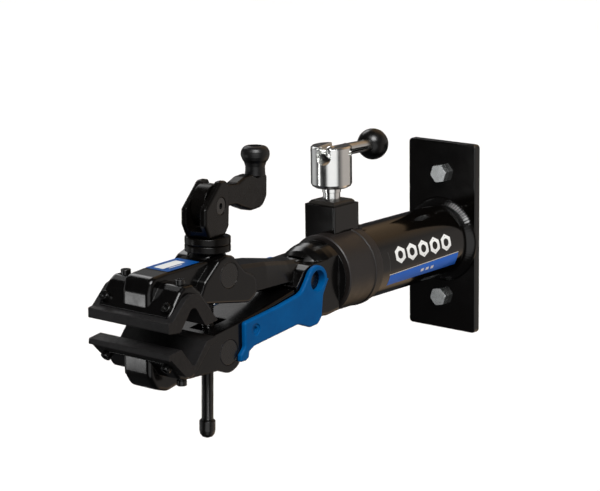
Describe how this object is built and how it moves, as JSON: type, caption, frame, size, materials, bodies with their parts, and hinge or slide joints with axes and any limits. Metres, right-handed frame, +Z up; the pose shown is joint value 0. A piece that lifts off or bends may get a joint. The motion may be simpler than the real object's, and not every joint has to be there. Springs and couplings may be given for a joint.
{
  "type": "bike repair clamp",
  "caption": "Wall-mounted bicycle repair clamp: a turning arm with rubber-padded jaws, an adjusting screw with crank and a lever lock.",
  "frame": {"origin": "on the wall plane, at the axis of the main tube", "axes": "+Y into the wall, +X to the right facing the wall, +Z up"},
  "size_m": [0.0892, 0.4352, 0.2143],
  "materials": {
    "black_paint": "gloss",
    "weld_paint": "gloss",
    "cast_black": "gloss",
    "zinc": "bright",
    "bronze_insert": "satin",
    "bushing_plastic": "matte",
    "brass_pad": "plain",
    "polished_steel": "polished",
    "ball_plastic": "gloss",
    "shaft_steel": "plain",
    "black_oxide": "satin",
    "pad_rubber": "matte",
    "spinner_black": "satin",
    "knob_plastic": "satin",
    "blue_lever": "satin"
  },
  "bodies": {
    "wall_bracket": {"mounting_plate": "black_paint", "lag_bolts": "zinc", "main_tube": "black_paint", "plate_weld": "weld_paint", "lock_boss": "black_paint", "boss_weld": "weld_paint", "boss_insert": "bronze_insert", "front_bushing": "bushing_plastic", "rear_bushing": "bushing_plastic"},
    "lock_foot": {"lock_pad": "brass_pad"},
    "lock_screw": {"lock_stud": "polished_steel", "lock_barrel": "polished_steel", "lever_pin": "polished_steel"},
    "lock_lever": {"lever_rod": "polished_steel", "ball_knob": "ball_plastic"},
    "clamp_head": {"head_casting": "cast_black", "clamp_shaft": "shaft_steel", "retaining_ring": "black_oxide"},
    "upper_jaw_body": {"upper_jaw": "cast_black", "upper_pad": "pad_rubber", "upper_pad_screws": "black_oxide", "upper_trunnion": "black_oxide", "thrust_washer": "spinner_black"},
    "screw": {"adjusting_rod": "black_oxide", "rod_end_nut": "black_oxide", "spinner_flange": "spinner_black", "spinner_fork": "spinner_black", "spinner_bolt": "black_oxide", "spinner_nut": "black_oxide"},
    "crank": {"crank_arm": "spinner_black", "knob_screw": "black_oxide"},
    "knob": {"crank_knob": "knob_plastic"},
    "lower_jaw_body": {"lower_jaw": "cast_black", "lower_pad": "pad_rubber", "lower_pad_screws": "black_oxide"},
    "trunnion_nut": {"lower_trunnion": "black_oxide"},
    "release_lever": {"cam_lever": "blue_lever", "cam_pin": "black_oxide", "cam_pin_caps": "black_oxide"}
  },
  "joints": [
    {"name": "head_turn", "type": "hinge", "parent": "wall_bracket", "child": "clamp_head", "pos_m": [0, -0.17, 0], "axis": [0, 1, 0], "continuous": true},
    {"name": "spinner_turn", "type": "hinge", "parent": "upper_jaw_body", "child": "screw", "pos_m": [0, -0.30281, 0.04999], "axis": [0, 0.0349, 0.9994], "range_deg": [0, 9000]},
    {"name": "upper_jaw_rock", "type": "hinge", "parent": "clamp_head", "child": "upper_jaw_body", "pos_m": [0, -0.3036, 0.0273], "axis": [1, 0, 0], "range_deg": [0, 15.2]},
    {"name": "lower_jaw_open", "type": "hinge", "parent": "clamp_head", "child": "lower_jaw_body", "pos_m": [0, -0.2046, 0.0046], "axis": [1, 0, 0], "range_deg": [0, 24.6]},
    {"name": "trunnion_nut_tilt", "type": "hinge", "parent": "lower_jaw_body", "child": "trunnion_nut", "pos_m": [0, -0.30567, -0.03196], "axis": [1, 0, 0], "range_deg": [-9.8, 0]},
    {"name": "release_lever_swing", "type": "hinge", "parent": "lower_jaw_body", "child": "release_lever", "pos_m": [0, -0.2046, 0.0046], "axis": [1, 0, 0], "range_deg": [0, 40]},
    {"name": "crank_fold", "type": "hinge", "parent": "screw", "child": "crank", "pos_m": [-0.00023, -0.30075, 0.07813], "axis": [0.9781, 0.2078, -0.0073], "range_deg": [0, 100]},
    {"name": "knob_spin", "type": "hinge", "parent": "crank", "child": "knob", "pos_m": [-0.01512, -0.22999, 0.09747], "axis": [0, 0.0349, 0.9994], "continuous": true},
    {"name": "lock_foot_slide", "type": "slide", "parent": "wall_bracket", "child": "lock_foot", "axis": [0, 0, 1], "range_m": [0, 0.00052]},
    {"name": "lock_screw_turn", "type": "hinge", "parent": "lock_foot", "child": "lock_screw", "pos_m": [-0.0106, -0.1421, 0.05], "axis": [0, 0, 1], "range_deg": [0, 90]},
    {"name": "lock_lever_flip", "type": "hinge", "parent": "lock_screw", "child": "lock_lever", "pos_m": [-0.0106, -0.1421, 0.094], "axis": [0.9613, 0.2756, 0], "range_deg": [0, 191]}
  ],
  "couplings": [
    {"joint": "lower_jaw_open", "follows": "spinner_turn", "ratio": 0.0026263},
    {"joint": "upper_jaw_rock", "follows": "spinner_turn", "ratio": 0.0015877},
    {"joint": "trunnion_nut_tilt", "follows": "spinner_turn", "ratio": -0.0010386},
    {"joint": "lock_foot_slide", "follows": "lock_screw_turn", "m_per_rad": 0.00031831}
  ]
}
